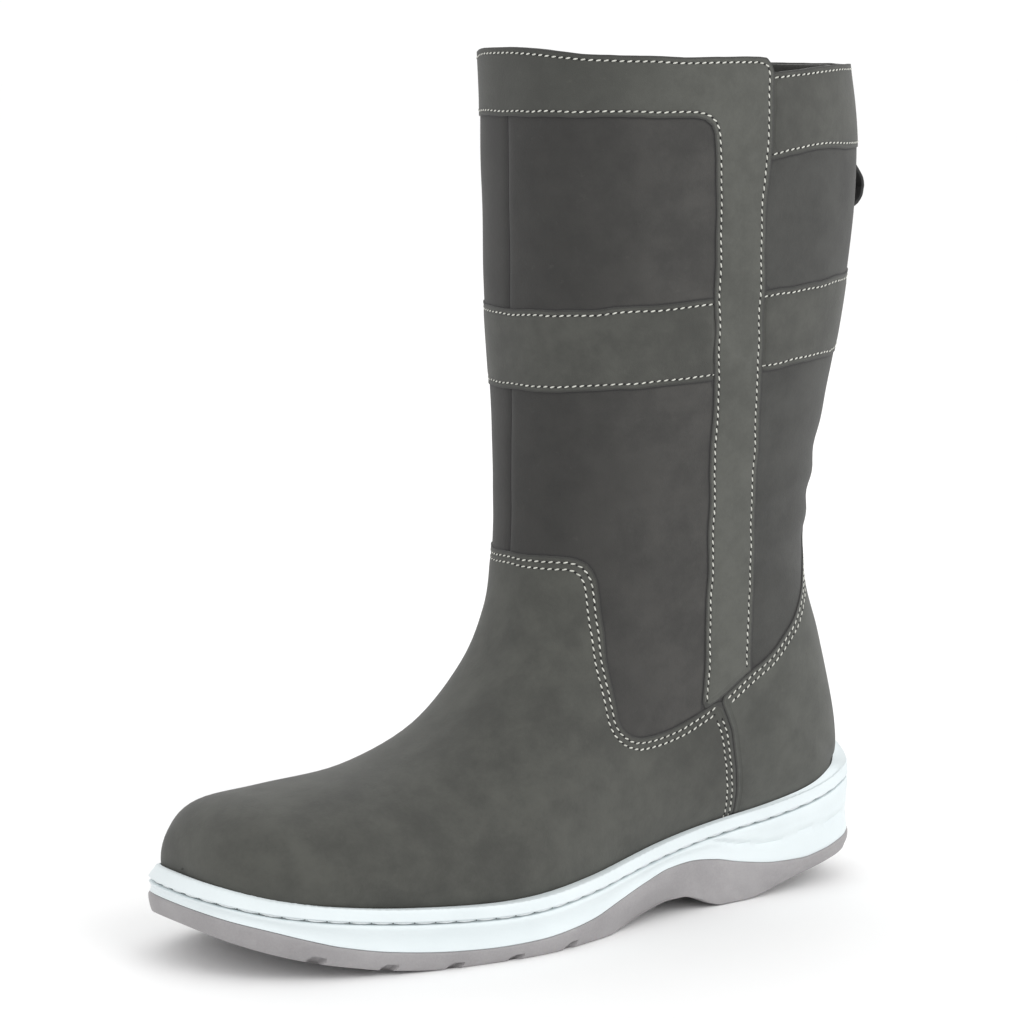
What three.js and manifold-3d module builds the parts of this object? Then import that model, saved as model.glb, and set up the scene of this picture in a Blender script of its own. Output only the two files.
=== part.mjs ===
// A tall leather deck boot, left foot: millimetres, +X to the toe, +Y to the outer side, +Z up.
// The upper is cut from layers of one form, the last, the way a pattern cutter lays leather on it.
import * as THREE from "three";
import Module from "manifold-3d";

const wasm = await Module();
wasm.setup();

// Driving dimensions
const soleLength = 296;
const rimHeight = 324;
const ballWidth = 95;
const heelStack = 41.4; // top of the midsole above the ground, at the back of the heel
const ballStack = 15.7; // the same under the ball of the foot
const toeLift = 12.4; // how far the midsole's top climbs from the ball to the toe
const welt = 5.5; // how far the sole stands out beyond the upper's lower edge
const randHeight = 5.6;
const leather = 1.6;
const lining = 1.2;
const gap = 0.3; // clearance between neighbouring pieces
const lap = 8; // how far one piece runs under the next at a sewn edge
const strapWidth = 22;
const bandHeight = 30;
const frontCollarDepth = 25;
const rearCollarDepth = 32;
const facingDepth = 28;
const boardThickness = 1.7;
const fillerThickness = 2.7;
const footbedThickness = 4;
const coverThickness = 0.8;
const footbedClearance = 2.6; // between the footbed's edge and the lining
const loopWidth = 24;
const loopLength = 24;
const loopBulge = 9.5;
const loopStrip = 1.7;
const sipeWidth = 2.2;
const sipeDepth = 2.4;

// Grading from the sample size that the form's stations are drawn in
const sampleLength = 296;
const sampleRim = 324;
const sampleBall = 95;
const gradeX = (x) => (x * soleLength) / sampleLength;
const gradeY = (y) => (y * ballWidth) / sampleBall;
const instepBase = 50; // below this height nothing is stretched by the height of the shaft
const gradeZ = (z) => Math.max(z - instepBase, 0) * ((rimHeight - instepBase) / (sampleRim - instepBase))
  + Math.min(z, instepBase);

// Straight-line reading of a list of [x, value] pairs, in sample-size x
function read(table, x) {
  const s = (x * sampleLength) / soleLength;
  const i = Math.max(1, table.findIndex(([at]) => at >= s));
  const [x0, v0] = table[s > table.at(-1)[0] ? table.length - 2 : i - 1];
  const [x1, v1] = table[s > table.at(-1)[0] ? table.length - 1 : i];
  return v0 + ((v1 - v0) * (s - x0)) / (x1 - x0);
}

// The sole seen from the side
const heelRise = [[0, 1], [14, 0.92], [23, 0.81], [37, 0.68], [58, 0.56], [76, 0.49], [110, 0.34], [150, 0.1],
  [190, 0]];
const toeRise = [[190, 0], [225, 0.14], [255, 0.37], [275, 0.6], [296, 1]];
const stackAt = (x) => ballStack + (x < gradeX(190)
  ? (heelStack - ballStack) * read(heelRise, x)
  : toeLift * read(toeRise, x));
const heelLip = 3.6; // the rand climbs by this at the very back
const randTopAt = (x) => stackAt(x) + randHeight + heelLip * Math.exp(-Math.max(x, 0) / 6);
const tread = [[0, 14.2], [9, 12.4], [20, 10.2], [36, 7], [51, 3.6], [62, 0.8], [68, 0], [86, 0], [92, 3.4], [100, 6.4],
  [108, 6.6], [120, 4.8], [132, 1.8], [142, 0], [214, 0], [235, 1.4], [255, 4.6], [275, 10.3], [288, 15.6],
  [296, 19.5]];
const groundAt = (x) => read(tread, x);
const seamLine = [[0, 20.6], [8, 18.8], [18, 16.6], [28, 14.3], [40, 12.7], [54, 13.2], [72, 15.9], [85, 18.8],
  [99, 20.3], [110, 19.7], [122, 16.9], [137, 12.6], [152, 8.8], [167, 7], [179, 6.1], [196, 5.7], [212, 6.3],
  [237, 8.6], [255, 11.2], [275, 15.7], [288, 20.4], [296, 24.1]];
const seamAt = (x) => read(seamLine, x);

// The form: each row runs from the lower or back edge (a) to the front ridge (c), and w is half its width.
// [x of a, half width at a, x of c, z of c, w]
const footRows = [[290, 0, 290.5, 35.2, 0], [288, 15.5, 290, 40.8, 17], [281, 27, 284, 51.2, 28.5],
  [264, 37.5, 272, 57.8, 40], [240, 43.5, 248.5, 60.5, 45.5], [208, 46, 215.5, 65, 47.5],
  [170, 44.5, 186, 79, 46], [130, 35.5, 166, 101, 41.5], [92, 30, 158.5, 121, 38.5],
  [50, 29.5, 155.5, 138, 40.5], [22, 26.5, 153.7, 149.5, 42.5], [11, 17.8, 153, 156, 43],
  [4.5, 0, 152.8, 162, 43.5]];
// [x of a, z of a, x of c, z of c, w]
const shaftRows = [[7, 60, 152.5, 172, 44], [15.5, 90, 152.2, 187, 45], [24.5, 120, 152.6, 205, 46],
  [24, 155, 153.5, 227, 49], [15.5, 195, 153.7, 251, 52.5], [6.5, 240, 154.3, 278, 56],
  [3, 282, 155, 303, 56.5], [4, 316, 156.5, 324, 56.5], [4, 328, 157, 336, 56.5]];
const middle = [[0, 0], [60, 1], [120, 4], [170, 4.5], [208, 1], [240, -3.5], [290, -10]];
const squareness = 2.25; // 2 would make each row an ellipse
const around = 9; // facets on each side of a row
const cutBelow = 6; // the layers run this far below the upper's edge, to be trimmed

function smooth(rows, steps) {
  const at = (i) => rows[Math.min(Math.max(i, 0), rows.length - 1)];
  const out = [];
  for (let i = 0; i < rows.length - 1; i++)
    for (let k = 0; k < steps; k++) {
      const t = k / steps;
      out.push(rows[0].map((_, j) => {
        const [p, q, r, s] = [at(i - 1)[j], at(i)[j], at(i + 1)[j], at(i + 2)[j]];
        return q + 0.5 * t * (r - p + t * (2 * p - 5 * q + 4 * r - s + t * (3 * (q - r) + s - p)));
      }));
    }
  return [...out, rows.at(-1)];
}

// Rows closer together than this at the heel would cross when the form is shrunk
const heelRowSpacing = gradeX(7);
const nearestRow = heelRowSpacing * 0.9;
const foot = smooth(footRows.map(([xa, ya, xc, zc, w]) =>
  [gradeX(xa), gradeY(ya), gradeX(xc), gradeZ(zc), gradeY(w)]), 2)
  .filter(([xa], i, all) => xa > gradeX(200) || i === all.length - 1
    || (all[i - 1][0] - xa > nearestRow && xa - all.at(-1)[0] > heelRowSpacing));
const rows = [
  ...foot.map(([xa, ya, xc, zc, w]) => ({ xa, za: stackAt(xa) - cutBelow, ya: Math.max(ya, 0), xc, zc, w })),
  ...shaftRows.map(([xa, za, xc, zc, w]) =>
    ({ xa: gradeX(xa), za: gradeZ(za), ya: 0, xc: gradeX(xc), zc: gradeZ(zc), w: gradeY(w) })),
];

// A closed body from loops of points, each loop joined to the next and the two ends capped
function closed(triangles) {
  const index = new Map();
  const vertices = [];
  const faces = [];
  const id = (p) => {
    const key = p.map((v) => Math.round(v * 1e4)).join();
    if (!index.has(key)) {
      index.set(key, index.size);
      vertices.push(...p);
    }
    return index.get(key);
  };
  for (const t of triangles) {
    const [a, b, c] = t.map(id);
    if (a !== b && b !== c && c !== a) faces.push(a, b, c);
  }
  return new wasm.Manifold(new wasm.Mesh({
    numProp: 3, vertProperties: new Float32Array(vertices), triVerts: new Uint32Array(faces),
  }));
}

function loft(loops) {
  const triangles = [];
  const n = loops[0].length;
  for (let r = 0; r < loops.length - 1; r++)
    for (let i = 0; i < n; i++) {
      const j = (i + 1) % n;
      const [a, b, c, d] = [loops[r][i], loops[r][j], loops[r + 1][j], loops[r + 1][i]];
      triangles.push([a, b, c], [a, c, d]);
    }
  // each loop runs down one side and back up the other, so a cap is a strip between the two sides
  for (const [loop, flip] of [[loops[0], true], [loops.at(-1), false]])
    for (let i = 0; i < n / 2; i++) {
      const quad = [loop[i], loop[i + 1], loop[(n - i - 1) % n], loop[(n - i) % n]];
      const turned = flip ? quad.reverse() : quad;
      triangles.push([turned[0], turned[1], turned[2]], [turned[0], turned[2], turned[3]]);
    }
  const solid = closed(triangles);
  return solid.volume() > 0 ? solid : closed(triangles.map(([a, b, c]) => [a, c, b]));
}

// The form's own loops: each runs up the outer side from back edge to front ridge, and down the inner side
const power = 2 / squareness;
const curve = (f) => Math.sign(Math.cos(f)) * Math.abs(Math.cos(f)) ** power;
const formLoops = rows.map(({ xa, za, ya, xc, zc, w }) => {
  const start = w > 0 ? Math.asin(Math.min(ya / w, 0.995) ** (squareness / 2)) : 0;
  const half = [];
  for (let k = 0; k <= around; k++) {
    const f = start + ((Math.PI - start) * k) / around;
    const t = (curve(start) - curve(f)) / (curve(start) + 1);
    const x = xa + (xc - xa) * t;
    const z = za + (zc - za) * t;
    const fade = Math.min(Math.max(1 - (z - 60) / 120, 0), 1);
    half.push([x, w * Math.abs(Math.sin(f)) ** power, z, gradeY(read(middle, x)) * fade]);
  }
  return [...half.map(([x, y, z, m]) => [x, m + y, z]), ...half.map(([x, y, z, m]) => [x, m - y, z]).reverse()];
});

// Which way is out at each point of the form, from the faces round it
const keyOf = (p) => p.map((v) => Math.round(v * 1e4)).join();
const outward = new Map();
formLoops.slice(1).forEach((loop, r) => loop.forEach((p, i) => {
  const j = (i + 1) % loop.length;
  if (j === 0) return;
  const corners = [formLoops[r][i], formLoops[r][j], loop[j], p];
  const [a, b, c, d] = corners.map((v) => new THREE.Vector3(...v));
  const facing = c.clone().sub(a).cross(d.clone().sub(b));
  for (const corner of corners) {
    const sum = outward.get(keyOf(corner)) ?? new THREE.Vector3();
    outward.set(keyOf(corner), sum.add(facing));
  }
}));
const turn = Math.sign(outward.get(keyOf(formLoops.at(-1)[around])).x);
for (const v of outward.values()) v.normalize().multiplyScalar(turn);

// The form grown by d all over
const formSolid = (d) => loft(formLoops.map((loop) => loop.map((p) => {
  const n = outward.get(keyOf(p));
  return [p[0] + d * n.x, p[1] + d * n.y, p[2] + d * n.z];
})));

const layer = (outside, inside) => formSolid(outside).subtract(formSolid(inside));
const skin = layer(0, -leather); // vamp, heel, straps, collars and bands
const under = layer(-leather - gap, -2 * leather - gap); // shaft panels, toe puff and heel counter
const insideFace = -2 * leather - 2 * gap - lining;
const inner = layer(insideFace + lining, insideFace); // linings

// A prism through the boot from an outline seen from its outer side, [x, z] points
const reach = 100;
function prism(outline, yLow = -reach, yHigh = reach) {
  const shape = new THREE.Shape(outline.map(([x, z]) => new THREE.Vector2(x, z)));
  const geometry = new THREE.ExtrudeGeometry(shape, { depth: yHigh - yLow, bevelEnabled: false });
  geometry.rotateX(Math.PI / 2).translate(0, yHigh, 0);
  const position = geometry.getAttribute("position");
  const triangles = [];
  for (let i = 0; i < position.count; i += 3)
    triangles.push([i, i + 1, i + 2].map((k) => [position.getX(k), position.getY(k), position.getZ(k)]));
  return closed(triangles);
}

// Outlines
const graded = (points) => points.map(([x, z]) => [gradeX(x), gradeZ(z)]);
const back = -60;
const ahead = soleLength + 60;
const along = (from, to, step, height) => {
  const count = Math.max(1, Math.round(Math.abs(to - from) / step));
  return Array.from({ length: count + 1 }, (_, i) => {
    const x = from + ((to - from) * i) / count;
    return [x, height(x)];
  });
};
const edgeAt = (x) => stackAt(Math.min(Math.max(x, 0), soleLength)) + gap;
const lowerEdge = (from, to) => along(from, to, 12, edgeAt);
const rimDrop = 8; // the rim falls by this from the front to the back
const rimAt = (x) => rimHeight - (rimDrop * (gradeX(156) - x)) / gradeX(152);

// An open edge moved sideways by d, to its left as it runs
function moved(points, d) {
  return points.map(([x, z], i) => {
    const [px, pz] = points[Math.max(i - 1, 0)];
    const [qx, qz] = points[Math.min(i + 1, points.length - 1)];
    const length = Math.hypot(qx - px, qz - pz);
    return [x - (d * (qz - pz)) / length, z + (d * (qx - px)) / length];
  });
}
const legShare = 0.48; // a rounding takes less than half of each leg, so that corners never meet
function rounded(points, radius) {
  return points.flatMap((p, i) => {
    if (i === 0 || i === points.length - 1) return [p];
    const corner = new THREE.Vector2(...p);
    const before = new THREE.Vector2(...points[i - 1]).sub(corner);
    const after = new THREE.Vector2(...points[i + 1]).sub(corner);
    const cut = Math.min(radius, before.length() * legShare, after.length() * legShare);
    const curve = new THREE.QuadraticBezierCurve(before.setLength(cut).add(corner), corner,
      after.setLength(cut).add(corner));
    return curve.getPoints(3).map((v) => [v.x, v.y]);
  });
}

// Vamp top edge, from the toe side over the instep and down round the ankle notch
const vampTop = rounded(graded([[ahead, 139], [138, 139], [136, 100], [134, 72], [112, 71], [88, 82.5]]), 12);
const heelTop = graded([[88, 82.5], [72, 92], [62, 99], [53, 107], [46, 116], [39, 127], [31, 141], [20, 148],
  [back, 148]]);
const sideSeam = graded([[88, 82.5], [82, 69], [78, 55], [75, 42], [73, 26]]);
const upperTop = [...vampTop, ...heelTop.slice(1)];
const seamFoot = sideSeam.at(-1)[0];

const vampOutline = [...lowerEdge(ahead, seamFoot + gap), ...moved(sideSeam, gap).reverse().slice(1),
  ...[...vampTop].reverse().slice(1)];
const heelOutline = [...lowerEdge(seamFoot - 1, back), ...[...heelTop].reverse().slice(0, -1),
  ...sideSeam.slice(0, -1)];

// Straps with the front collar, one piece
const strapLine = graded([[91, 340], [91, 300], [89.5, 250], [86, 195], [85, 160], [85, 60]]);
const strapFront = moved(strapLine, strapWidth / 2);
const strapRear = moved(strapLine, -strapWidth / 2);
const strapAt = (line, z) => {
  const i = Math.max(1, line.findIndex(([, h]) => h <= z));
  const [[x0, z0], [x1, z1]] = [line[i - 1], line[i]];
  return x0 + ((x1 - x0) * (z - z0)) / (z1 - z0);
};
const frontCollarLow = rimHeight - frontCollarDepth;
const collarCorner = [strapAt(strapFront, frontCollarLow), frontCollarLow];
const rimCorner = [strapAt(strapRear, rimAt(gradeX(80))), rimAt(gradeX(80))];
const collarInner = rounded([[ahead, frontCollarLow], collarCorner, ...strapFront.slice(2)], 7);
const collarOuter = rounded([[ahead, rimAt(ahead)], rimCorner, ...strapRear.slice(1)], 8);
const collarOutline = [...collarOuter, ...[...collarInner].reverse()];

const aboveUpper = (clearance) => prism([[ahead, rimHeight * 2], ...moved(upperTop, -clearance),
  [back, rimHeight * 2]]);
const overSkin = skin.intersect(aboveUpper(gap)); // what is left of the outer layer above vamp and heel
const frontOf = (line, d) => prism([...moved(line, d), [ahead, line.at(-1)[1]], [ahead, line[0][1]]]);
const behind = (line, d) => prism([...moved(line, d), [back, line.at(-1)[1]], [back, line[0][1]]]);
const zBand = (low, high, tilt = 0) => prism([[back, low + tilt], [ahead, low - tilt], [ahead, high - tilt],
  [back, high + tilt]]);
const underRim = prism([[back, rimAt(back)], [back, -10], [ahead, -10], [ahead, rimAt(ahead)]]);

// Bands rise to the back
const bandMiddle = gradeZ(214.4); // at the shaft's front
const bandTilt = 16.2; // rise and fall of a band's ends from its middle
const band = zBand(bandMiddle - bandHeight / 2, bandMiddle + bandHeight / 2, bandTilt);
const rearCollarLow = rimHeight - rimDrop - rearCollarDepth;
const rearCollarTilt = 1.5;
const rearCollarZone = zBand(rearCollarLow, rimHeight * 2, rearCollarTilt);

// Side-view zone from the upper's top edge, or a lap below it, to the rim
const panelZone = aboveUpper(-lap).intersect(underRim);
const counterZone = prism([...lowerEdge(gradeX(70), back), ...moved([...heelTop].reverse(), -lap - 1).slice(0, -2)]);
const puffZone = prism([[ahead, -10], [ahead, rimHeight], ...graded([[252, 90], [244, 62], [247, 40]]),
  [gradeX(252), edgeAt(gradeX(252))], ...lowerEdge(gradeX(252), soleLength)]);
const liningSplit = gradeZ(112);
const facingLow = rimHeight - facingDepth;
const aboveEdge = prism([...lowerEdge(back, ahead), [ahead, rimHeight * 2], [back, rimHeight * 2]]);

// Sole outline in plan: the upper's lower edge, moved out by d
const planPoints = footRows.map(([xa, ya]) => [gradeX(xa), gradeY(ya), gradeY(read(middle, gradeX(xa)))]);
const planSteps = 4; // points of the sole's outline between two rows of the form
const planHalf = smooth(planPoints, planSteps);
function plan(d) {
  const outerSide = planHalf.map(([x, y, m]) => [x, m + Math.max(y, 0)]);
  const innerSide = planHalf.map(([x, y, m]) => [x, m - Math.max(y, 0)]).reverse().slice(1, -1);
  const loop = [...outerSide, ...innerSide];
  return loop.map(([x, y], i) => {
    const [px, py] = loop[(i + loop.length - 1) % loop.length];
    const [qx, qy] = loop[(i + 1) % loop.length];
    const length = Math.hypot(qx - px, qy - py);
    return [x + (d * (qy - py)) / length, y - (d * (qx - px)) / length];
  });
}
const ring = (d, height) => plan(d).map(([x, y]) => [x, y, height(x)]);
const slab = (low, high, clearance) => loft([ring(0, (x) => stackAt(x) + low), ring(0, (x) => stackAt(x) + high)])
  .intersect(formSolid(insideFace - clearance));

function outsole() {
  const body = loft([ring(welt - 4, groundAt), ring(welt - 0.8, (x) => groundAt(x) + 2.4),
    ring(welt, (x) => seamAt(x))]);
  const sipes = [152, 169, 186, 203, 220, 22, 38, 54].map((x) => {
    const at = gradeX(x);
    const top = groundAt(at) + sipeDepth;
    return prism([[at - sipeWidth / 2, -5], [at + sipeWidth / 2, -5], [at + sipeWidth / 2, top],
      [at - sipeWidth / 2, top]]);
  });
  return sipes.reduce((solid, sipe) => solid.subtract(sipe), body);
}

function midsole() {
  const waist = (share) => (x) => seamAt(x) + gap + (stackAt(x) - seamAt(x) - gap) * share;
  return loft([ring(welt - 0.3, waist(0)), ring(welt - 0.9, waist(0.45)), ring(welt, waist(0.85)),
    ring(welt - 0.6, waist(1))]);
}

function rand() {
  const body = loft([ring(welt - 0.2, edgeAt), ring(welt - 1.2, randTopAt)]);
  return body.subtract(formSolid(gap));
}

// Under the insole board: cork in the forepart, a steel shank in the waist
const fillerRear = gradeX(150);
const shankWidth = 16;
const shankFront = fillerRear - 2;
const shankRear = gradeX(58);
const packing = slab(gap, gap + fillerThickness, gap);

// A folded strip that hangs from a hinge line just under the rear collar
const backRows = rows.filter((row) => row.ya === 0).slice(1);
const backAt = (z) => {
  const i = backRows.findIndex((row) => row.za > z);
  const [low, high] = [backRows[i - 1], backRows[i]];
  return low.xa + ((high.xa - low.xa) * (z - low.za)) / (high.za - low.za);
};
const hingeDrop = loopStrip + 1.5; // from the collar's lower edge to the hinge line
const hingeZ = rearCollarLow - hingeDrop;
const hingeX = backAt(hingeZ) + leather + gap - 0.5 - loopStrip;

// The loop's side profile, shrunk all round by inset
function loopProfile(inset) {
  const front = hingeX + loopStrip - inset;
  const rear = hingeX + loopStrip - loopBulge + inset;
  const foot = hingeZ - loopLength + inset;
  return [[front, foot + 4], [front - 3, foot], [rear + 3, foot + 2], [rear, foot + 8],
    [rear + 0.6, hingeZ - loopLength * 0.45]];
}

function pullLoop() {
  const outside = [[hingeX + loopStrip, hingeZ], ...loopProfile(0), [hingeX - loopStrip - 1, hingeZ - 5],
    [hingeX - loopStrip, hingeZ], [hingeX - loopStrip * 0.5, hingeZ + loopStrip * 0.85],
    [hingeX + loopStrip * 0.5, hingeZ + loopStrip * 0.85]];
  const inside = [[hingeX, hingeZ - 7], ...loopProfile(loopStrip), [hingeX - 1, hingeZ - 7]];
  return prism(outside, -loopWidth / 2, loopWidth / 2).subtract(prism(inside));
}

const finishes = {
  nubuck: { color: 0x5d5e59, roughness: 0.9 },
  suede: { color: 0x4b484b, roughness: 0.95 },
  lining: { color: 0x3c3a38, roughness: 0.9 },
  softLeather: { color: 0x4a4640, roughness: 0.8 },
  whiteFoam: { color: 0xe8edef, roughness: 0.6 },
  rubber: { color: 0x9b9496, roughness: 0.7 },
  board: { color: 0xb09a78, roughness: 0.9 },
  cork: { color: 0x9c7a52, roughness: 0.95 },
  steel: { color: 0x9a9da0, roughness: 0.4, metalness: 1 },
  thermoplastic: { color: 0xcfc8b8, roughness: 0.6 },
};

const boot = new THREE.Group();
function add(name, finish, solid) {
  const mesh = solid.getMesh();
  const count = mesh.vertProperties.length / mesh.numProp;
  const position = new Float32Array(count * 3);
  for (let i = 0; i < count; i++)
    position.set(mesh.vertProperties.subarray(i * mesh.numProp, i * mesh.numProp + 3), i * 3);
  const geometry = new THREE.BufferGeometry();
  geometry.setAttribute("position", new THREE.BufferAttribute(position, 3));
  geometry.setIndex(new THREE.BufferAttribute(new Uint32Array(mesh.triVerts), 1));
  geometry.computeVertexNormals();
  const part = new THREE.Mesh(geometry, new THREE.MeshStandardMaterial(finishes[finish]));
  part.name = name;
  boot.add(part);
}

// Sole
add("outsole", "rubber", outsole());
add("midsole", "whiteFoam", midsole());
add("rand", "whiteFoam", rand());
add("forefoot_filler", "cork", packing.intersect(prism([[fillerRear, -10], [ahead, -10], [ahead, 80],
  [fillerRear, 80]])));
add("shank", "steel", packing.intersect(prism([[shankRear, -10], [shankFront, -10], [shankFront, 80],
  [shankRear, 80]], gradeY(3) - shankWidth / 2, gradeY(3) + shankWidth / 2)));
const boardBase = 2 * gap + fillerThickness;
const footbedBase = boardBase + boardThickness + gap;
add("insole_board", "board", slab(boardBase, boardBase + boardThickness, gap));
add("footbed", "whiteFoam", slab(footbedBase, footbedBase + footbedThickness, footbedClearance));
const coverBase = footbedBase + footbedThickness + gap;
add("footbed_cover", "softLeather", slab(coverBase, coverBase + coverThickness, footbedClearance + gap));

// Upper
add("vamp", "nubuck", skin.intersect(prism(vampOutline)));
add("heel_foxing", "nubuck", skin.intersect(prism(heelOutline)));
add("collar_and_straps", "nubuck", overSkin.intersect(prism(collarOutline)));
add("rear_collar", "nubuck", overSkin.intersect(behind(strapRear, -gap)).intersect(rearCollarZone)
  .intersect(underRim));
add("front_band", "nubuck", overSkin.intersect(frontOf(strapFront, gap)).intersect(band));
add("rear_band", "nubuck", overSkin.intersect(behind(strapRear, -gap)).intersect(band));
const panels = under.intersect(panelZone);
const frontPanels = panels.intersect(frontOf(strapLine, gap / 2));
add("front_panel_outer", "suede", frontPanels.intersect(prism([[back, -10], [ahead, -10], [ahead, 400],
  [back, 400]], gap / 2, reach)));
add("front_panel_inner", "suede", frontPanels.intersect(prism([[back, -10], [ahead, -10], [ahead, 400],
  [back, 400]], -reach, -gap / 2)));
add("rear_panel", "suede", panels.intersect(behind(strapLine, -gap / 2)));
add("toe_puff", "thermoplastic", under.intersect(puffZone));
add("heel_counter", "thermoplastic", under.intersect(counterZone));

// Inside
const innerTrim = inner.intersect(aboveEdge).intersect(underRim);
add("foot_lining", "lining", innerTrim.intersect(zBand(-10, liningSplit - gap / 2)));
add("shaft_lining", "lining", innerTrim.intersect(zBand(liningSplit + gap / 2, facingLow - gap / 2)));
add("collar_facing", "softLeather", innerTrim.intersect(zBand(facingLow + gap / 2, rimHeight * 2)));

add("pull_loop", "nubuck", pullLoop());

// The origin is at the middle of the foot of the whole boot's box
const box = new THREE.Box3().setFromObject(boot);
boot.position.set(-(box.min.x + box.max.x) / 2, -(box.min.y + box.max.y) / 2, -box.min.z);

export default boot;
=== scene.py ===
import math

import bpy
import numpy as np
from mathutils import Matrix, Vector, noise


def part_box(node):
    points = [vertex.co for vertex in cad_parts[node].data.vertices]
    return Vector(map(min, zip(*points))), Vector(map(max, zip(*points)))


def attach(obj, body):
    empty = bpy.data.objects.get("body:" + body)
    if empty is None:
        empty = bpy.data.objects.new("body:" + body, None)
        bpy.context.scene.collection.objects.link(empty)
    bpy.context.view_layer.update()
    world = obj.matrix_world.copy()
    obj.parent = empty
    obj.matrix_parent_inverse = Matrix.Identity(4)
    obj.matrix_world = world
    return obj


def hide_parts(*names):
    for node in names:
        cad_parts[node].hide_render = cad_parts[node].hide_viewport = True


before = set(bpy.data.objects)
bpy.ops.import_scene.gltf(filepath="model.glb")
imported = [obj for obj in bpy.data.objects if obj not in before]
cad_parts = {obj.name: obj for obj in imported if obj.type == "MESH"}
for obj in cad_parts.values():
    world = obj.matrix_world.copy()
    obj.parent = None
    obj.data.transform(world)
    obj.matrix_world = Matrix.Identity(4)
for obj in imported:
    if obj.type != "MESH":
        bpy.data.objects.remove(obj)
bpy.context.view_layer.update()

print("frame loaded")

# Lengths are in millimetres from the back of the heel, as on a pattern, until a mesh is made of them.
mm = 0.001
soleSize = {
    "ballStack": 15.7, "heelStack": 41.4, "toeLift": 12.4, "welt": 5.5, "randHeight": 5.6, "heelLip": 3.6,
    "heelRise": [(0, 1), (14, 0.92), (23, 0.81), (37, 0.68), (58, 0.56), (76, 0.49), (110, 0.34), (150, 0.1),
                 (190, 0), (300, 0)],
    "toeRise": [(0, 0), (190, 0), (225, 0.14), (255, 0.37), (275, 0.6), (296, 1)],
    "tread": [(0, 14.2), (9, 12.4), (20, 10.2), (36, 7), (51, 3.6), (62, 0.8), (68, 0), (80, 0), (86, 1.5),
              (92, 4.2), (100, 6.4), (108, 6.6), (120, 4.8), (132, 1.8), (142, 0), (214, 0), (235, 1.4),
              (255, 4.6), (265, 6.6), (275, 9.2), (288, 13.6), (296, 17.2)],
    "seamLine": [(0, 20.6), (8, 18.8), (18, 16.6), (28, 14.3), (40, 12.7), (54, 13.2), (72, 15.9), (85, 18.8),
                 (99, 20.3), (110, 19.7), (122, 16.9), (137, 12.6), (152, 8.8), (167, 7), (179, 6.1),
                 (196, 5.7), (212, 6.3), (237, 8.6), (255, 11.9), (266, 15), (277, 18.4), (288, 21.6),
                 (296, 24.3)],
}
# The form: each row runs from the lower or back edge to the front ridge.
# footRows: x of the edge, half width at the edge, x and z of the ridge, half width
# shaftRows: x and z of the edge, x and z of the ridge, half width
form = {
    "footRows": [(290, 0, 289.4, 35.2, 0), (288, 15.5, 288.8, 40.8, 17), (281, 27, 283.2, 51.2, 28.5),
                 (264, 37.5, 272, 57.8, 40), (240, 43.5, 248.5, 60.5, 45.5), (208, 46, 215.5, 65, 47.5),
                 (170, 44.5, 186, 79, 46), (130, 35.5, 166, 101, 41.5), (92, 30, 158.5, 121, 38.5),
                 (50, 29.5, 156.6, 138, 40.5), (22, 26.9, 155.6, 149.5, 42.5), (11, 18.6, 155.2, 156, 43),
                 (4.5, 0, 155.1, 162, 43.5)],
    "shaftRows": [(7, 60, 154.8, 172, 44), (15.5, 90, 154.5, 187, 45), (25, 120, 154.8, 205, 46),
                  (23.2, 155, 155.3, 227, 49), (14.8, 195, 155.4, 251, 52.5), (7.2, 240, 155.6, 278, 56),
                  (3.8, 282, 156, 303, 56.5), (8, 316, 157, 324, 55.8), (9, 328, 157.4, 336, 55.8)],
    "middle": [(0, 0), (60, 1), (120, 4), (170, 4.5), (208, 1), (240, -3.5), (290, -10)],
    "squareness": 2.25, "aroundSide": 104, "footSteps": 7, "shaftSteps": 15,
}
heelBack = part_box("outsole")[0][0] + (soleSize["welt"] - form["footRows"][-1][0]) * mm
ahead, behind = 400.0, -80.0  # where lines that cross the whole boot begin and end


def curveThrough(points):
    # a smooth reading of a list of pairs, without overshoot
    x, y = np.array(points, float).T
    step, slope = np.diff(x), np.diff(y) / np.diff(x)
    tangent = np.zeros(len(x))
    same = slope[1:] * slope[:-1] > 0
    tangent[1:-1][same] = 2 * slope[1:][same] * slope[:-1][same] / (slope[1:] + slope[:-1])[same]
    tangent[0], tangent[-1] = slope[0], slope[-1]

    def read(at):
        at = np.clip(np.asarray(at, float), x[0], x[-1])
        i = np.clip(np.searchsorted(x, at) - 1, 0, len(step) - 1)
        t = (at - x[i]) / step[i]
        return (y[i] * (1 + 2 * t) * (1 - t) ** 2 + step[i] * tangent[i] * t * (1 - t) ** 2
                + y[i + 1] * t * t * (3 - 2 * t) + step[i] * tangent[i + 1] * t * t * (t - 1))
    return read


heelRise, toeRise = curveThrough(soleSize["heelRise"]), curveThrough(soleSize["toeRise"])
groundAt, seamAt = curveThrough(soleSize["tread"]), curveThrough(soleSize["seamLine"])
middleAt = curveThrough(form["middle"])


def stackAt(x):
    return (soleSize["ballStack"] + (soleSize["heelStack"] - soleSize["ballStack"]) * heelRise(x)
            + soleSize["toeLift"] * toeRise(x))


def randTopAt(x):
    return stackAt(x) + soleSize["randHeight"] + soleSize["heelLip"] * np.exp(-np.maximum(x, 0) / 6)


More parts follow.
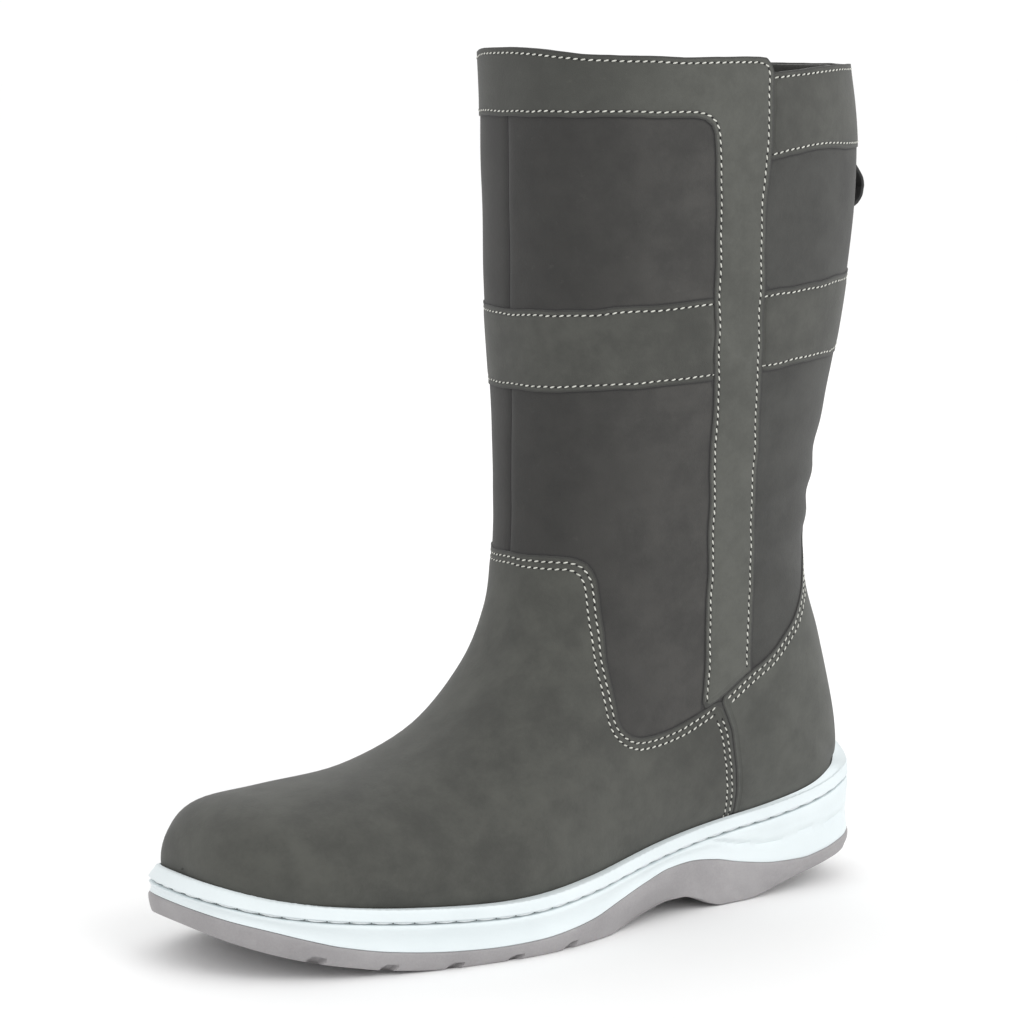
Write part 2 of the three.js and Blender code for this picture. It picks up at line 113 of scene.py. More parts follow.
def smoothRows(rows, steps, ghostStart=None, ghostEnd=None):
    rows = np.array(rows, float)
    start = 2 * rows[0] - rows[1] if ghostStart is None else np.array(ghostStart, float)
    end = 2 * rows[-1] - rows[-2] if ghostEnd is None else np.array(ghostEnd, float)
    p = np.vstack([start, rows, end])
    out = []
    for i in range(len(rows) - 1):
        t = np.linspace(0, 1, steps, endpoint=False)[:, None]
        a, b, c, d = p[i:i + 4]
        out.append(b + 0.5 * t * (c - a + t * (2 * a - 5 * b + 4 * c - d + t * (3 * (b - c) + d - a))))
    return np.vstack(out + [rows[-1:]])


def smoothstep(low, high, value):
    t = np.clip((value - low) / (high - low), 0, 1)
    return t * t * (3 - 2 * t)


def makeForm():
    # the outer surface of the upper: points, directions out, and the middle line, row by row
    rows = form["footRows"]
    tip = (rows[1][0], -rows[1][1], rows[1][2], rows[1][3], -rows[1][4])
    foot = smoothRows(rows, form["footSteps"], ghostStart=tip)
    footEdge = np.column_stack([foot[:, 0], stackAt(foot[:, 0]) + 0.3])
    first = (rows[-1][0], float(stackAt(rows[-1][0])) + 0.3, rows[-1][2], rows[-1][3], rows[-1][4])
    shaft = smoothRows([first] + form["shaftRows"], form["shaftSteps"])[1:]
    edge = np.vstack([footEdge, shaft[:, :2]])
    ridge = np.vstack([foot[:, 2:4], shaft[:, 2:4]])
    width = np.concatenate([foot[:, 4], shaft[:, 4]])
    half = np.concatenate([np.maximum(foot[:, 1], 0), np.zeros(len(shaft))])
    power = 2 / form["squareness"]
    start = np.arcsin(np.clip(half / np.maximum(width, 1e-6), 0, 0.995) ** (1 / power))
    f = start[:, None] + (math.pi - start[:, None]) * np.linspace(0, 1, form["aroundSide"] + 1)
    curve = np.sign(np.cos(f)) * np.abs(np.cos(f)) ** power
    t = (curve[:, :1] - curve) / (curve[:, :1] + 1)
    x = edge[:, :1] + (ridge[:, :1] - edge[:, :1]) * t
    z = edge[:, 1:] + (ridge[:, 1:] - edge[:, 1:]) * t
    y = np.maximum(width, 0)[:, None] * np.abs(np.sin(f)) ** power
    y[:, -1] = 0
    y[half <= 0, 0] = 0
    middle = middleAt(x) * np.clip(1 - (z - 60) / 120, 0, 1)
    outer = np.stack([x, middle + y, z], -1)
    inner = np.stack([x, middle - y, z], -1)[:, ::-1][:, 1:]
    points = np.concatenate([outer, inner], 1)
    joint = len(foot) - 1
    # the rows meet at an angle under the heel, so they are eased into each other there
    share = 0.5 * np.exp(-((np.arange(len(points)) - joint) / 9.0) ** 2)[:, None, None]
    share[0] = share[-1] = 0
    keepEdge = points[:, [0, -1]].copy()
    for _ in range(30):
        mean = points.copy()
        mean[1:-1] = 0.5 * (points[2:] + points[:-2])
        points = points + share * (mean - points)
        points[:joint + 1, [0, -1]] = keepEdge[:joint + 1]
    centre = np.concatenate([middle, middle[:, ::-1][:, 1:]], 1)
    return points, centre, joint


def outwardOf(points, joint):
    alongRow, across = np.gradient(points, axis=1), np.gradient(points, axis=0)
    # behind the heel the row closes on itself, so its two ends share a direction
    wrap = points[joint:, 1] - points[joint:, -2]
    alongRow[joint:, 0] = alongRow[joint:, -1] = wrap / 2
    n = np.cross(alongRow, across)
    n /= np.linalg.norm(n, axis=-1, keepdims=True) + 1e-9
    if n[-1, form["aroundSide"], 0] < 0:
        n = -n
    return n


formPoints, formCentre, formJoint = makeForm()
formOut = outwardOf(formPoints, formJoint)
formX, formZ = formPoints[..., 0], formPoints[..., 2]
formSide = formPoints[..., 1] - formCentre
print("form", formPoints.shape)


def softNoise(points, scale, seed):
    flat = points.reshape(-1, 3)
    out = [noise.noise(Vector((p[0] / scale + seed, p[1] / scale, p[2] / scale))) for p in flat.tolist()]
    return np.array(out).reshape(points.shape[:-1])


# How worn leather stands off the form: creases behind the ankle, and a slow ripple up the shaft
wear = {"crease": 0.8, "ripple": 0.6, "settle": -0.1, "creaseHeight": 158, "creasePitch": 21}


def wornShape():
    ripple = softNoise(formPoints, 34.0, 3.0) * wear["ripple"] * smoothstep(70, 130, formZ)
    turned = softNoise(formPoints, 42.0, 9.0) * 9
    phase = 2 * math.pi * (formZ + 0.2 * formX + turned) / wear["creasePitch"]
    rear = smoothstep(95, 20, formX)
    band = np.exp(-((formZ - wear["creaseHeight"]) / 30.0) ** 2)
    return wear["settle"] + ripple + wear["crease"] * np.sin(phase) * band * rear * 0.8


formWorn = wornShape()


# Outlines on the side of the boot, as x and z
def moved(line, d):
    line = np.array(line, float)
    after = np.vstack([line[1:], line[-1:]])
    before = np.vstack([line[:1], line[:-1]])
    t = after - before
    t /= np.linalg.norm(t, axis=1, keepdims=True)
    return line + d * np.column_stack([-t[:, 1], t[:, 0]])


def rounded(line, radius):
    line = [np.array(p, float) for p in line]
    out = [line[0]]
    for before, corner, after in zip(line, line[1:], line[2:]):
        cut = min(radius, 0.48 * np.linalg.norm(before - corner), 0.48 * np.linalg.norm(after - corner))
        a = corner + cut * (before - corner) / np.linalg.norm(before - corner)
        b = corner + cut * (after - corner) / np.linalg.norm(after - corner)
        for t in np.linspace(0, 1, 7):
            out.append(a * (1 - t) ** 2 + 2 * corner * t * (1 - t) + b * t * t)
    return np.array(out + [line[-1]])


def fromLine(line):
    # distance of every form point from a line, positive to its left as it runs
    line = np.array(line, float)
    best = np.full(formX.shape, 1e9)
    signed = np.zeros(formX.shape)
    for (ax, az), (bx, bz) in zip(line[:-1], line[1:]):
        dx, dz = bx - ax, bz - az
        size = dx * dx + dz * dz
        if size < 1e-9:
            continue
        t = np.clip(((formX - ax) * dx + (formZ - az) * dz) / size, 0, 1)
        rx, rz = formX - ax - t * dx, formZ - az - t * dz
        d = np.hypot(rx, rz)
        side = np.sign(dx * (formZ - az) - dz * (formX - ax))
        closer = d < best - 1e-6
        signed = np.where(closer, side * d, signed)
        best = np.where(closer, d, best)
    return signed


pattern = {
    "frontRim": [(77, 320.4), (90, 320.5), (109, 320.6), (126, 320.9), (141, 321.3), (150, 322.5),
                 (157, 324)],
    "rearRim": [(0, 317.6), (32, 317.6), (46, 317), (63, 316), (77, 315), (92, 315)],
    "vampTop": [(ahead, 139), (138, 139), (136, 100), (134, 72), (112, 71), (88, 82.5)],
    "heelTop": [(88, 82.5), (72, 92), (62, 99), (53, 107), (46, 116), (39, 127), (31, 141), (20, 148),
                (behind, 148)],
    "sideSeam": [(88, 82.5), (82, 69), (78, 55), (75, 42), (73, 26)],
    "strapLine": [(91, 340), (91, 300), (89.5, 250), (86, 195), (85, 160), (85, 60)],
    "strapShoulder": [(75.5, 340), (75.5, 303), (77.2, 287), (79, 268)],
    "strapWidth": 22, "bandMiddle": 214.4, "bandHeight": 30, "bandSlope": 0.078,
    "rimHeight": 324, "strapTop": 320.8, "frontCollarDepth": 25,
    "rearCollarLow": [(0, 286), (50, 286.5), (84, 283), (160, 283)],
}
frontRimAt, rearRimAt = curveThrough(pattern["frontRim"]), curveThrough(pattern["rearRim"])
vampTop = rounded(pattern["vampTop"], 12)
upperTop = np.vstack([vampTop, rounded(pattern["heelTop"], 6)[1:]])
strapFront = moved(pattern["strapLine"], pattern["strapWidth"] / 2)
strapRear = moved(pattern["strapLine"], -pattern["strapWidth"] / 2)
strapRear = np.vstack([pattern["strapShoulder"], strapRear[2:]])


def aroundCorner(height, strap, first, radius):
    # the collar's line at that height, turned down into a strap's edge from its point first
    return rounded(np.vstack([[ahead, height], [strap[first - 1][0], height], strap[first:]]), radius)


collarInner = aroundCorner(pattern["rimHeight"] - pattern["frontCollarDepth"], strapFront, 2, 8)
collarOuter = aroundCorner(pattern["strapTop"], strapRear, 1, 14)
wobble = softNoise(formPoints, 13.0, 5.0) * 0.75 + softNoise(formPoints, 4.0, 15.0) * 0.16

toTop = fromLine(upperTop) + wobble
toSeam = fromLine(np.vstack([[92, 95], pattern["sideSeam"]])) + wobble * 0.5
toInner = fromLine(collarInner) + wobble
toOuter = fromLine(collarOuter) + wobble
toStrapFront, toStrapRear = fromLine(strapFront) + wobble, fromLine(strapRear) + wobble
toRim = frontRimAt(formX) - formZ + wobble * 0.5
toRearRim = rearRimAt(formX) - formZ + wobble * 0.5
toAnyRim = np.where(formX > 84, toRim, toRearRim)
bandCentre = pattern["bandMiddle"] + pattern["bandSlope"] * (148 - formX)
bandUnder = formZ - bandCentre + pattern["bandHeight"] / 2 + wobble
bandOver = bandCentre + pattern["bandHeight"] / 2 - formZ + wobble
rearLow = formZ - curveThrough(pattern["rearCollarLow"])(formX) + wobble
print("pattern drawn")


def choose(piece):
    bpy.ops.object.select_all(action="DESELECT")
    piece.select_set(True)
    bpy.context.view_layer.objects.active = piece


def softEdges(piece, degrees):
    choose(piece)
    bpy.ops.object.shade_smooth_by_angle(angle=math.radians(degrees))


def objectFrom(name, points, faces, attributes=None):
    mesh = bpy.data.meshes.new(name)
    points = np.array(points, float)
    placed = np.column_stack([points[:, 0] * mm + heelBack, points[:, 1] * mm, points[:, 2] * mm])
    mesh.from_pydata(placed.tolist(), [], faces)
    for key, values in (attributes or {}).items():
        mesh.attributes.new(key, "FLOAT", "POINT").data.foreach_set("value", np.array(values, np.float32))
    piece = bpy.data.objects.new(name, mesh)
    bpy.context.collection.objects.link(piece)
    choose(piece)
    bpy.ops.object.shade_smooth()
    return piece


def apply(piece, kind, **settings):
    modifier = piece.modifiers.new(kind.title(), kind)
    for key, value in settings.items():
        setattr(modifier, key, value)
    choose(piece)
    bpy.ops.object.modifier_apply(modifier=modifier.name)


def bevel(piece, width):
    apply(piece, "BEVEL", width=width * mm, segments=2, limit_method="ANGLE", angle_limit=math.radians(55))


def weld(piece, distance):
    choose(piece)
    bpy.ops.object.mode_set(mode="EDIT")
    bpy.ops.mesh.select_all(action="SELECT")
    bpy.ops.mesh.remove_doubles(threshold=distance)
    bpy.ops.mesh.normals_make_consistent(inside=False)
    bpy.ops.object.mode_set(mode="OBJECT")


def formQuads():
    index = np.arange(formX.size).reshape(formX.shape)
    return np.stack([index[:-1, :-1], index[:-1, 1:], index[1:, 1:], index[1:, :-1]], -1).reshape(-1, 4)


def cutPanel(name, cut, offset, thickness, soften, shade=None):
    # the part of the form where cut is above 0, as leather of that thickness
    outer = (formPoints + formOut * offset[..., None]).reshape(-1, 3)
    field, quads = cut.reshape(-1), formQuads()
    # the edge attribute is the distance from the cut, or else the given shade field, from which the leather
    # finish paints shade on the shaft's panels
    tint = field if shade is None else shade.reshape(-1)
    within = (field[quads] > 0).sum(1)
    faces = quads[within == 4].tolist()
    points, values, crossing = [], [], {}

    def cross(i, j):
        key = (min(i, j), max(i, j))
        if key not in crossing:
            i, j = key
            t = field[i] / (field[i] - field[j])
            crossing[key] = len(outer) + len(points)
            points.append(outer[i] + t * (outer[j] - outer[i]))
            values.append(tint[i] + t * (tint[j] - tint[i]))
        return crossing[key]
    for quad in quads[(within > 0) & (within < 4)].tolist():
        polygon = []
        for i, j in zip(quad, quad[1:] + quad[:1]):
            if field[i] > 0:
                polygon.append(i)
            if (field[i] > 0) != (field[j] > 0):
                polygon.append(cross(i, j))
        if len(polygon) > 2:
            faces.append(polygon)
    allPoints = np.vstack([outer, points]) if points else outer
    allValues = np.concatenate([tint, values])
    used = np.unique(np.concatenate([np.array(f) for f in faces]))
    renumber = np.full(len(allPoints), -1)
    renumber[used] = np.arange(len(used))
    faces = [[int(renumber[i]) for i in f] for f in faces]
    piece = objectFrom(name, allPoints[used], faces, {"edge": allValues[used]})
    weld(piece, 0.00012)
    first = quads[within == 4][0][0]
    wanted, firstPoint = Vector(formOut.reshape(-1, 3)[first].tolist()), outer[first]
    at = Vector((firstPoint[0] * mm + heelBack, firstPoint[1] * mm, firstPoint[2] * mm))
    nearest = min(piece.data.polygons, key=lambda polygon: (polygon.center - at).length)
    if nearest.normal.dot(wanted) < 0:
        piece.data.flip_normals()
    apply(piece, "SOLIDIFY", thickness=thickness * mm, offset=-1, use_even_offset=False, use_rim=True)
    bevel(piece, soften)
    softEdges(piece, 45)
    return piece


def contours(field, keep, offset):
    # the lines on the form where field is 0, as runs of points with the direction out of the leather
    surface, quads = formPoints + formOut * offset[..., None], formQuads()
    value, flat, out = field.reshape(-1), surface.reshape(-1, 3), formOut.reshape(-1, 3)
    positive = (value[quads] > 0).sum(1)
    good = keep.reshape(-1)[quads].all(1)
    where, links = {}, {}

    def key(i, j):
        i, j = min(i, j), max(i, j)
        t = value[i] / (value[i] - value[j])
        p = flat[i] + t * (flat[j] - flat[i])
        name = tuple(np.round(p, 2))
        where[name] = (p, out[i] + t * (out[j] - out[i]))
        return name
    for quad in quads[(positive > 0) & (positive < 4) & good].tolist():
        ends = [key(i, j) for i, j in zip(quad, quad[1:] + quad[:1]) if (value[i] > 0) != (value[j] > 0)]
        for a, b in zip(ends[::2], ends[1::2]):
            if a != b:
                links.setdefault(a, set()).add(b)
                links.setdefault(b, set()).add(a)
    runs, seen = [], set()
    for start in sorted(links, key=lambda name: (len(links[name]), name)):
        if start in seen:
            continue
        run, at = [start], start
        seen.add(start)
        while True:
            onward = sorted(name for name in links[at] if name not in seen)
            if not onward:
                break
            at = onward[0]
            seen.add(at)
            run.append(at)
        if len(run) > 3:
            runs.append((np.array([where[n][0] for n in run]), np.array([where[n][1] for n in run])))
    return runs


def evenly(points, normals, pitch):
    length = np.concatenate([[0], np.cumsum(np.linalg.norm(np.diff(points, axis=0), axis=1))])
    count = int(length[-1] // pitch)
    if count < 2:
        return None
    at = (np.arange(count) + 0.5) * length[-1] / count

    def sample(values, where):
        return np.column_stack([np.interp(where, length, values[:, k]) for k in range(3)])
    place = sample(points, at)
    along = sample(points, at + 0.8) - sample(points, at - 0.8)
    up = sample(normals, at)
    along /= np.linalg.norm(along, axis=1, keepdims=True) + 1e-9
    up -= along * (up * along).sum(1)[:, None]
    up /= np.linalg.norm(up, axis=1, keepdims=True) + 1e-9
    return place, along, up, sample(points, at + 0.5 * length[-1] / count)


def beadShape(segments, rings):
    bpy.ops.mesh.primitive_uv_sphere_add(segments=segments, ring_count=rings, radius=1)
    bead = bpy.context.active_object
    points = np.array([v.co[:] for v in bead.data.vertices])
    faces = [list(p.vertices) for p in bead.data.polygons]
    bpy.data.objects.remove(bead)
    return points, faces


stitchShape, holeShape = beadShape(8, 6), beadShape(6, 4)


def scatter(name, shape, places, along, up, size):
    # one bead copied to every place: size is its length, width and height
    points, faces = shape
    side = np.cross(up, along)
    body = points[:, [2, 0, 1]] * np.array(size) / 2
    every = (places[:, None] + body[None, :, :1] * along[:, None] + body[None, :, 1:2] * side[:, None]
             + body[None, :, 2:] * up[:, None]).reshape(-1, 3)
    allFaces = [[i + k * len(points) for i in face] for k in range(len(places)) for face in faces]
    return objectFrom(name, every, allFaces)


def sewRows(name, rows, pitch=2.8, length=1.95, width=0.64, sink=0.06, slant=0.26, hole=(1.2, 0.82, 0.4)):
    places, alongs, ups, holeShades, holeAlong, holeUp = [], [], [], [], [], []
    for points, normals in rows:
        laid = evenly(points, normals, pitch)
        if laid is None:
            continue
        place, along, up, between = laid
        side = np.cross(up, along)
        alongs.append(along + slant * side)
        places.append(place - up * sink)
        ups.append(up)
        holeShades.append(between - up * 0.02)
        holeAlong.append(along)
        holeUp.append(up)
    places, alongs, ups = np.vstack(places), np.vstack(alongs), np.vstack(ups)
    alongs /= np.linalg.norm(alongs, axis=1, keepdims=True)
    thread = scatter(name + "Thread", stitchShape, places, alongs, ups, (length, width, width))
    # the needle holes are dark beads on the surface: painted shade standing in for the holes
    holeShade = scatter(name + "Holes", holeShape, np.vstack(holeShades), np.vstack(holeAlong), np.vstack(holeUp),
                     hole)
    print(name, len(places), "stitches")
    return thread, holeShade


# The upper: the leather, its linings and stiffeners
leather, lining, stiffener = 1.6, 1.2, 0.7
underLeather = 0.7  # how far the shaft's panels, and the linings behind them, are set in from the form


def lessOf(*fields):
    return np.minimum.reduce(fields)


def near(distance, width):
    return np.exp(-(distance / width) ** 2)


hem = stackAt(np.clip(formX, 0, 296))
overHem = np.maximum(formZ - hem, 0)
# leather is drawn in along its seams, and tucked in at its hem where the sole takes it
drawn = -0.3 * near(toTop - 3.4, 1.7) - 0.3 * near(toSeam - 3.2, 1.7) * (toTop > 0)
tucked = -1.0 * np.exp(-overHem / 4.0) * (formZ < 60)
skinAt = formWorn + drawn + tucked
tuckUnder = 1.6  # how far the bands and the rear collar run under the straps
behindStrap, beforeStrap = tuckUnder - toStrapRear, tuckUnder + toStrapFront
strapAt = formWorn - 0.22 * near(toStrapFront + 2, 1.2) - 0.22 * near(toStrapRear - 2, 1.2)
panelAt = formWorn - underLeather + 0.2 - 0.5 * near(formSide, 1.6) * (formX > 100)
underStrap = np.where(behindStrap > beforeStrap, -0.9 * smoothstep(3.0, 0.4, behindStrap),
                      -0.9 * smoothstep(3.0, 0.4, beforeStrap))
bandAt = underStrap + formWorn - 0.25 * near(bandUnder - 2, 1.2) - 0.25 * near(bandOver - 2, 1.2)
panelRim = toAnyRim - 0.8
panelEnd = 9 - toTop
frontPanel = lessOf(toStrapRear - 11, panelRim, panelEnd)
strapOuter = np.where(formX > 98, 99.0, toOuter)
liningAt = formWorn - underLeather - leather - 0.9
stiffenerAt = formWorn - 1.75 + tucked * 0.6
facingLow, liningSplit, liningLap = pattern["rimHeight"] - 28, 112, 3

upperCut = {
    "vamp": (lessOf(toTop, toSeam), skinAt, leather, "vamp"),
    "heelFoxing": (lessOf(toTop, -toSeam - 0.25), skinAt, leather, "heel_foxing"),
    "collarAndStraps": (lessOf(-toTop - 0.2, -toInner, strapOuter, toRim), strapAt, leather,
                        "collar_and_straps"),
    "rearCollar": (lessOf(behindStrap, toRearRim, rearLow), bandAt, leather, "rear_collar"),
    "frontBand": (lessOf(beforeStrap, bandUnder, bandOver), bandAt, leather, "front_band"),
    "rearBand": (lessOf(behindStrap, bandUnder, bandOver), bandAt, leather, "rear_band"),
    "frontPanelOuter": (lessOf(frontPanel, formSide - 0.1), panelAt, leather, "front_panel_outer"),
    "frontPanelInner": (lessOf(frontPanel, -formSide - 0.1), panelAt, leather, "front_panel_inner"),
    "rearPanel": (lessOf(10.7 - toStrapRear, panelRim, panelEnd), panelAt, leather, "rear_panel"),
    "collarFacing": (lessOf(toAnyRim - 0.2, formZ - facingLow), liningAt, lining, "collar_facing"),
    "shaftLining": (lessOf(facingLow + liningLap - formZ, formZ - liningSplit), liningAt - 0.25, lining,
                    "shaft_lining"),
    "footLining": (lessOf(liningSplit + liningLap - formZ, overHem - 0.4), liningAt - 0.5, lining,
                   "foot_lining"),
    "heelCounter": (lessOf(72 - formX, toTop + 1, overHem - 0.5), stiffenerAt, stiffener, "heel_counter"),
    "toePuff": (lessOf(formX - 250, overHem - 0.5), stiffenerAt, stiffener, "toe_puff"),
}
# the shaft's panels are painted dark along the pieces laid over them, as painted shade at the step with some
# dirt, and dark along their own seam
betweenBands = -lessOf(bandUnder, bandOver)
frontShade = lessOf(toInner, betweenBands, -toTop, np.abs(formSide) + (formX < 100) * 99.0)
shades = {"frontPanelOuter": frontShade, "frontPanelInner": frontShade,
          "rearPanel": lessOf(behindStrap - tuckUnder, -rearLow, betweenBands, -toTop)}
upper = {}
for name, (cut, offset, thickness, node) in upperCut.items():
    soften = 0.3 if thickness == leather else 0.2
    upper[name] = cutPanel(name, cut, offset, thickness, soften, shades.get(name))
    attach(upper[name], "boot")
    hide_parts(node)
    print("cut", name, len(upper[name].data.polygons), "faces")

# The seams of the upper: each is a distance to hold, where to sew, and the leather it lies on
stitchLine = {"in": 2.0, "second": 4.4, "strap": 2.1}
bothRows = (stitchLine["in"], stitchLine["second"])
onRearTop, onFront = behindStrap > tuckUnder - 1.5, beforeStrap > tuckUnder - 1.5
seams = {
    "vampTop": [(toTop - d, (toSeam > 1.2) & (toTop > -4), skinAt) for d in bothRows],
    "heelTop": [(toTop - d, (toSeam < -1.2) & (toTop > -4), skinAt) for d in bothRows],
    "sideSeam": [(toSeam - d, (toTop > 5.2) & (overHem > 4), skinAt) for d in bothRows],
    "collarLow": [(toInner + stitchLine["in"], (toTop < -0.4) & (toRim > 4), strapAt)],
    "collarRim": [(lessOf(strapOuter, toRim) - stitchLine["strap"], (toTop < -0.4) & (toInner < -4),
                   strapAt)],
    "rearCollarLow": [(rearLow - stitchLine["in"], onRearTop, bandAt)],
    "rearCollarRim": [(toRearRim - stitchLine["in"], onRearTop, bandAt)],
    "bandFront": [(edge - stitchLine["in"], onFront, bandAt) for edge in (bandUnder, bandOver)],
    "bandRear": [(edge - stitchLine["in"], onRearTop, bandAt) for edge in (bandUnder, bandOver)],
}
threads, needleHoleShades = [], []
for name, rows in seams.items():
    runs = [run for field, keep, offset in rows for run in contours(field, keep, offset)]
    thread, holeShades = sewRows(name, runs)
    threads.append(thread)
    needleHoleShades.append(holeShades)
    for piece in (thread, holeShades):
        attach(piece, "boot")


# The sole, in rings round the plan of the foot
sole = {"stations": 440, "across": 30, "grooveHeight": 1.1, "grooveDepth": 0.8, "needlePitch": 8.0,
        "sipePitch": 12.0, "sipeDepth": 2.4, "sipeWidth": 2.3, "notchPitch": 24.0}


def planOf(count):
    rows = form["footRows"]
    half = smoothRows([(r[0], r[1]) for r in rows], 24, ghostStart=(rows[1][0], -rows[1][1]),
                      ghostEnd=(rows[-2][0], -rows[-2][1]))
    length = np.concatenate([[0], np.cumsum(np.hypot(*np.diff(half, axis=0).T))])
    at = np.linspace(0, length[-1], count)
    x, y = np.interp(at, length, half[:, 0]), np.maximum(np.interp(at, length, half[:, 1]), 0)
    y[0] = y[-1] = 0
    middle = middleAt(x)
    loop = np.vstack([np.column_stack([x, middle + y]), np.column_stack([x, middle - y])[::-1][1:-1]])
    tangent = np.roll(loop, -1, axis=0) - np.roll(loop, 1, axis=0)
    normal = np.column_stack([tangent[:, 1], -tangent[:, 0]])
    normal /= np.linalg.norm(normal, axis=1, keepdims=True)
    for _ in range(6):
        normal = (np.roll(normal, 1, axis=0) + 2 * normal + np.roll(normal, -1, axis=0)) / 4
    return loop, normal / np.linalg.norm(normal, axis=1, keepdims=True)


planLoop, planNormal = planOf(sole["stations"])
planX = planLoop[:, 0]
if planNormal[0, 0] < 0:
    planNormal = -planNormal
welt = soleSize["welt"]
sideX = np.clip(planX + welt * planNormal[:, 0], 0, 296)
ground, seam, stack, randTop = groundAt(sideX), seamAt(sideX), stackAt(sideX), randTopAt(sideX)
underFoot = stackAt(planX)  # the same height at the edge of the board
ringCount = len(planLoop)


def ringAt(out, height):
    return np.column_stack([planLoop + planNormal * np.broadcast_to(out, ringCount)[:, None],
                            np.broadcast_to(height, ringCount)])


def stackRings(name, rings, capFirst=None, capLast=None, closedTube=False):
    # rings joined one to the next; a cap is laid across from the outer side to the inner side
    points = np.vstack(rings)
    n = ringCount
    faces = []
    pairs = list(zip(range(len(rings)), range(1, len(rings))))
    if closedTube:
        pairs.append((len(rings) - 1, 0))
    for a, b in pairs:
        for i in range(n):
            j = (i + 1) % n
            faces.append([a * n + i, a * n + j, b * n + j, b * n + i])
    last = sole["stations"] - 1
    for which, cap in ((0, capFirst), (len(rings) - 1, capLast)):
        if cap is None:
            continue
        steps = sole["across"]
        outerPoints = rings[which][:last + 1]
        innerPoints = np.vstack([rings[which][:1], rings[which][last + 1:][::-1],
                                 rings[which][last:last + 1]])
        base = len(points)
        t = np.linspace(0, 1, steps + 1)[None, 1:-1, None]
        grid = outerPoints[:, None] * (1 - t) + innerPoints[:, None] * t
        grid[..., 2] = cap(grid[..., 0], grid[..., 1], grid[..., 2])
        points = np.vstack([points, grid.reshape(-1, 3)])

        def at(i, k):
            if k == 0:
                return which * n + i
            if k == steps:
                return which * n + (0 if i == 0 else (last if i == last else n - i))
            return base + i * (steps - 1) + k - 1
        for i in range(last):
            for k in range(steps):
                quad = [at(i, k), at(i, k + 1), at(i + 1, k + 1), at(i + 1, k)]
                faces.append(quad if which == 0 else quad[::-1])
    piece = objectFrom(name, points, faces)
    weld(piece, 0.00002)
    softEdges(piece, 38)
    return piece


def flatCap(x, y, z):
    return z


def stretch(low, lowEnd, high, highEnd, value):
    # 1 between the two, easing to 0 past each
    return smoothstep(low, lowEnd, value) * (1 - smoothstep(high, highEnd, value))


def sipeAt(x, y):
    # wavy cross cuts under the heel and the ball, 1 in the middle of a cut
    phase = (x + 3.2 * np.sin(y / 7.0)) / sole["sipePitch"]
    fromMiddle = np.abs(phase - np.round(phase)) * sole["sipePitch"] / (sole["sipeWidth"] / 2)
    here = stretch(14, 24, 80, 88, x) + stretch(138, 146, 262, 276, x)
    return (1 - smoothstep(0.5, 1.35, fromMiddle)) * here


def notchAt(height):
    # leaf-shaped cuts in the lower edge of the side, one at every other sipe of the ball
    wide = 2.4 * math.sqrt(max(1 - ((height - 1.1) / 1.7) ** 2, 0))
    if wide < 0.1:
        return np.zeros(ringCount)
    phase = (planX + 0.9 * height + 2) / sole["notchPitch"]
    fromMiddle = np.abs(phase - np.round(phase)) * sole["notchPitch"] / wide
    return (1 - smoothstep(0.55, 1.25, fromMiddle)) * stretch(150, 156, 276, 282, planX)


def makeOutsole():
    rings = [ringAt(welt - 4.2, ground), ringAt(welt - 2.4, ground + 0.15)]
    for share in (0.03, 0.08, 0.13, 0.18, 0.23, 0.28, 0.33, 0.38, 0.43, 0.48, 0.55, 0.65, 0.78, 0.9, 0.96,
                  1.0):
        out = welt - 1.7 + 1.75 * np.sqrt(np.clip(share / 0.7, 0, 1)) - 0.5 * smoothstep(0.9, 1, share)
        waistIn = 1.6 * stretch(96, 110, 128, 146, planX) * (1 - smoothstep(0, 0.7, share))
        scallop = 0.35 * np.sin(planX * 0.55) * stretch(0, 0.2, 0.2, 0.5, share) * (planX < 95)
        cut = notchAt(float(np.median(seam - ground)) * share)
        rings.append(ringAt(out - waistIn - 2.5 * cut - scallop, ground + (seam - ground) * share))
    return stackRings("outsoleShell", rings, lambda x, y, z: z + sole["sipeDepth"] * sipeAt(x, y), flatCap)


def makeMidsole():
    # the side bows in a little, and a crease runs round the heel
    rings = []
    seamTop, grooveLow = seam + 0.12, stack - 0.2
    crease = curveThrough([(0, 13), (18, 12), (37, 9.5), (54, 9), (74, 5), (91, 0.2), (130, 0)])
    creaseDeep = 0.75 * (1 - smoothstep(88, 108, planX))
    for share in (0.0, 0.03, 0.08, 0.15, 0.22, 0.3, 0.38, 0.46, 0.54, 0.62, 0.7, 0.78, 0.86, 0.93, 0.97,
                  1.0):
        height = seamTop + (grooveLow - seamTop) * share
        bow = 0.75 * math.sin(math.pi * min(share / 0.85, 1))
        out = welt - 0.25 - bow - 0.45 * smoothstep(0.94, 1.0, share)
        fold = grooveLow - height - crease(planX)
        folded = creaseDeep * (near(fold, 0.8) - 0.4 * near(fold + 1.8, 1.4))
        rings.append(ringAt(out - 0.35 * (1 - smoothstep(0, 0.04, share)) - folded, height))
    rings.append(ringAt(welt - 0.9 - sole["grooveDepth"], stack - 0.05))
    return stackRings("midsoleShell", rings, flatCap, flatCap)


outsolePiece, midsolePiece = makeOutsole(), makeMidsole()

# the rand meets the leather at its top, so its inner edge is read off the form
rowsUp = formJoint + 1
ridgeColumn = form["aroundSide"]


def roundLength(line):
    # how far round a closed outline each of its points is, seen from above
    return np.concatenate([[0], np.cumsum(np.hypot(*np.diff(np.vstack([line, line[:1]])[:, :2], axis=0).T))])


